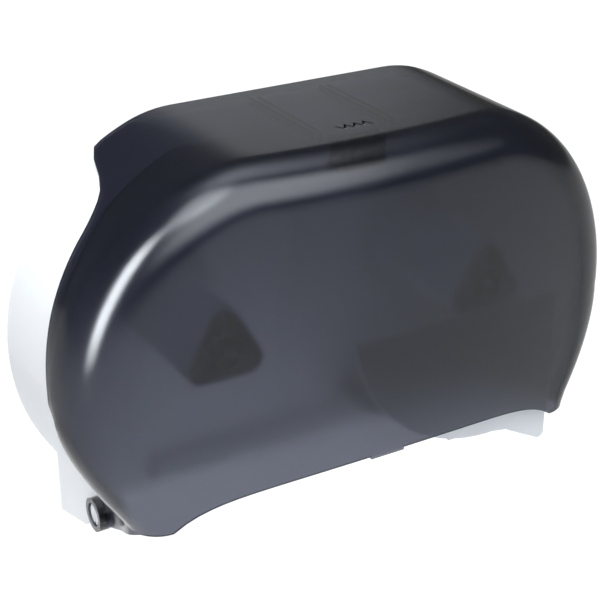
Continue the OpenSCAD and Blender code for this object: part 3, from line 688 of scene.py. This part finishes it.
bpy.context.scene.view_settings.view_transform = "Standard"

floor_z = -0.30
floor_place = Matrix.Translation((0, 0, floor_z))
floor_mesh = bmesh.new()
bmesh.ops.create_grid(floor_mesh, x_segments=1, y_segments=1, size=4, matrix=floor_place)
floor_data = bpy.data.meshes.new("floor")
floor_mesh.to_mesh(floor_data)
floor_mesh.free()
floor = bpy.data.objects.new("floor", floor_data)
bpy.context.collection.objects.link(floor)
paint = bpy.data.materials.new("floor_paint")
paint.use_nodes = True
nodes = paint.node_tree.nodes
links = paint.node_tree.links
painted = nodes["Principled BSDF"]
painted.inputs["Base Color"].default_value = (0.60, 0.60, 0.60, 1)
painted.inputs["Roughness"].default_value = 0.9
painted.inputs["Specular IOR Level"].default_value = 0.1
ray = nodes.new("ShaderNodeLightPath")

# In reflections the floor darkens away from the object, so that the cover's front stays deep
place = nodes.new("ShaderNodeTexCoord")
centre = nodes.new("ShaderNodeMapping")
centre.inputs["Location"].default_value = (0, 0, -floor_z)
reach = nodes.new("ShaderNodeVectorMath")
reach.operation = "LENGTH"
links.new(place.outputs["Object"], centre.inputs["Vector"])
links.new(centre.outputs["Vector"], reach.inputs[0])
fade = nodes.new("ShaderNodeMapRange")
fade.inputs["From Min"].default_value = 0.2
fade.inputs["From Max"].default_value = 0.5
fade.inputs["To Max"].default_value = 0.6
links.new(reach.outputs["Value"], fade.inputs["Value"])
far = nodes.new("ShaderNodeMath")
far.operation = "MULTIPLY"
links.new(fade.outputs["Result"], far.inputs[0])
links.new(ray.outputs["Is Glossy Ray"], far.inputs[1])
dark = nodes.new("ShaderNodeBsdfDiffuse")
dark.inputs["Color"].default_value = (0.02, 0.02, 0.02, 1)
card = nodes.new("ShaderNodeMixShader")
links.new(far.outputs["Value"], card.inputs["Fac"])
links.new(painted.outputs["BSDF"], card.inputs[1])
links.new(dark.outputs["BSDF"], card.inputs[2])

# The camera sees three parts of plain white to one part of the lit floor with the object's shadow
white = nodes.new("ShaderNodeEmission")
white.inputs["Strength"].default_value = 1.16
seen = nodes.new("ShaderNodeMath")
seen.operation = "MULTIPLY"
seen.inputs[1].default_value = 0.75
links.new(ray.outputs["Is Camera Ray"], seen.inputs[0])
blend = nodes.new("ShaderNodeMixShader")
links.new(seen.outputs["Value"], blend.inputs["Fac"])
links.new(card.outputs["Shader"], blend.inputs[1])
links.new(white.outputs["Emission"], blend.inputs[2])
links.new(blend.outputs["Shader"], nodes["Material Output"].inputs["Surface"])
floor_data.materials.append(paint)

# White to the camera and through clear plastic, dim in reflections, and an even fill for the rest
world = bpy.data.worlds.new("studio")
bpy.context.scene.world = world
world.use_nodes = True
nodes = world.node_tree.nodes
links = world.node_tree.links
sky = nodes["Background"]
sky.inputs["Color"].default_value = (1, 1, 1, 1)
ray = nodes.new("ShaderNodeLightPath")
fill = nodes.new("ShaderNodeMapRange")
fill.inputs["To Min"].default_value = 0.86
fill.inputs["To Max"].default_value = 0.05
links.new(ray.outputs["Is Glossy Ray"], fill.inputs["Value"])
direct = nodes.new("ShaderNodeMath")
direct.operation = "MAXIMUM"
links.new(ray.outputs["Is Camera Ray"], direct.inputs[0])
links.new(ray.outputs["Is Transmission Ray"], direct.inputs[1])
level = nodes.new("ShaderNodeMath")
level.operation = "MAXIMUM"
links.new(fill.outputs["Result"], level.inputs[0])
links.new(direct.outputs["Value"], level.inputs[1])
links.new(level.outputs["Value"], sky.inputs["Strength"])


def soft_box(name, azimuth, height, distance, width, tall, power):
    """A soft box facing the object, brighter in its middle. Azimuth turns from the front to the right."""
    light = bpy.data.lights.new(name, "AREA")
    light.shape = "RECTANGLE"
    light.size = width
    light.size_y = tall
    light.color = (0.92, 0.96, 1.0)
    light.energy = power
    light.use_nodes = True
    nodes = light.node_tree.nodes
    links = light.node_tree.links
    over = nodes.new("ShaderNodeNewGeometry")
    off_centre = nodes.new("ShaderNodeVectorMath")
    off_centre.operation = "SUBTRACT"
    off_centre.inputs[1].default_value = (0.5, 0.5, 0)
    links.new(over.outputs["Parametric"], off_centre.inputs[0])
    to_edge = nodes.new("ShaderNodeVectorMath")
    to_edge.operation = "ABSOLUTE"
    links.new(off_centre.outputs["Vector"], to_edge.inputs[0])
    across = nodes.new("ShaderNodeSeparateXYZ")
    links.new(to_edge.outputs["Vector"], across.inputs["Vector"])
    both = nodes.new("ShaderNodeMath")
    both.operation = "MULTIPLY"
    for i, axis in enumerate("XY"):
        fade = nodes.new("ShaderNodeMapRange")
        fade.interpolation_type = "SMOOTHSTEP"
        fade.inputs["From Min"].default_value = 0.5
        fade.inputs["From Max"].default_value = 0.15
        links.new(across.outputs[axis], fade.inputs["Value"])
        links.new(fade.outputs["Result"], both.inputs[i])
    links.new(both.outputs["Value"], nodes["Emission"].inputs["Strength"])
    lamp = bpy.data.objects.new(name, light)
    around = radians(azimuth)
    up = radians(height)
    away = Vector((sin(around) * cos(up), -cos(around) * cos(up), sin(up)))
    lamp.location = away * distance
    lamp.rotation_euler = (-away).to_track_quat("-Z", "Y").to_euler()
    lamp.visible_camera = False
    bpy.context.collection.objects.link(lamp)
    return lamp


soft_box("front_box", -8, 38, distance=1.6, width=2.8, tall=2.0, power=44)
soft_box("right_fill", 36, 34, distance=1.8, width=1.2, tall=1.5, power=3)
soft_box("back_card", 158, 20, distance=1.8, width=1.7, tall=1.1, power=1.6)

# The overhead lamp would draw a hard line along the cover's top edge, so reflections leave it out
top_box = soft_box("top_box", 0, 88, distance=1.6, width=2.0, tall=1.3, power=72)
top_box.visible_glossy = False

# Two strips that only show in reflections, as the streak down the cover's left edge
top_left_strip = soft_box("top_left_strip", -48, 52, distance=1.6, width=1.1, tall=1.2, power=13)
top_left_strip.visible_diffuse = False
left_strip = soft_box("left_strip", -66, 14, distance=1.4, width=0.50, tall=1.6, power=34)
left_strip.visible_diffuse = False
